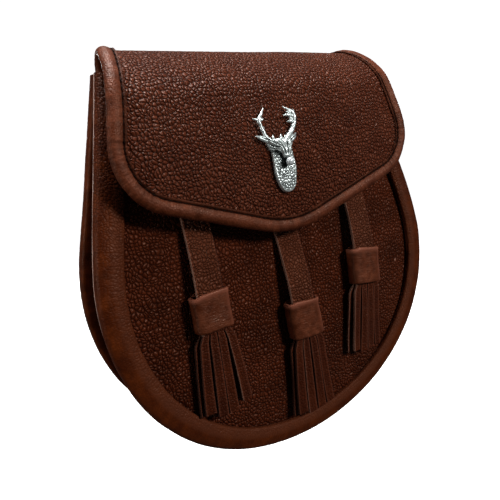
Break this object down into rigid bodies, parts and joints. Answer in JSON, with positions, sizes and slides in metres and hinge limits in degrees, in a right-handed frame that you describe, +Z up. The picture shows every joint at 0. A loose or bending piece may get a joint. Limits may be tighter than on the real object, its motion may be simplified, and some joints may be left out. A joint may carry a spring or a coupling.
{
  "type": "leather belt pouch",
  "caption": "Round-based leather belt pouch with a gusset, a flap folded over the top, a stag-head badge and hanging leather tassels.",
  "frame": {"origin": "on the belt line, halfway up the belt loops, at the middle of the back panel's rear face", "axes": "+X to the right of someone who looks at the pouch's front, +Y out of its back, +Z up as it hangs"},
  "size_m": [0.1838, 0.0553, 0.1958],
  "materials": {
    "grained_leather": "pebbled, semi-matt",
    "smooth_leather": "smooth, waxed",
    "antique_silver": "polished high spots over darkened hollows"
  },
  "bodies": {
    "root": {"back_panel": "grained_leather", "front_panel": "grained_leather", "flap": "grained_leather", "tassel_strap_left": "grained_leather", "tassel_strap_middle": "grained_leather", "tassel_strap_right": "grained_leather", "tassel_fringe_left": "grained_leather", "tassel_fringe_middle": "grained_leather", "tassel_fringe_right": "grained_leather", "belt_loop_left": "grained_leather", "belt_loop_right": "grained_leather", "front_binding": "smooth_leather", "back_binding": "smooth_leather", "gusset": "smooth_leather", "flap_binding": "smooth_leather", "tassel_collar_left": "smooth_leather", "tassel_collar_middle": "smooth_leather", "tassel_collar_right": "smooth_leather", "stag_head": "antique_silver", "snap_stud": "antique_silver"}
  },
  "joints": []
}
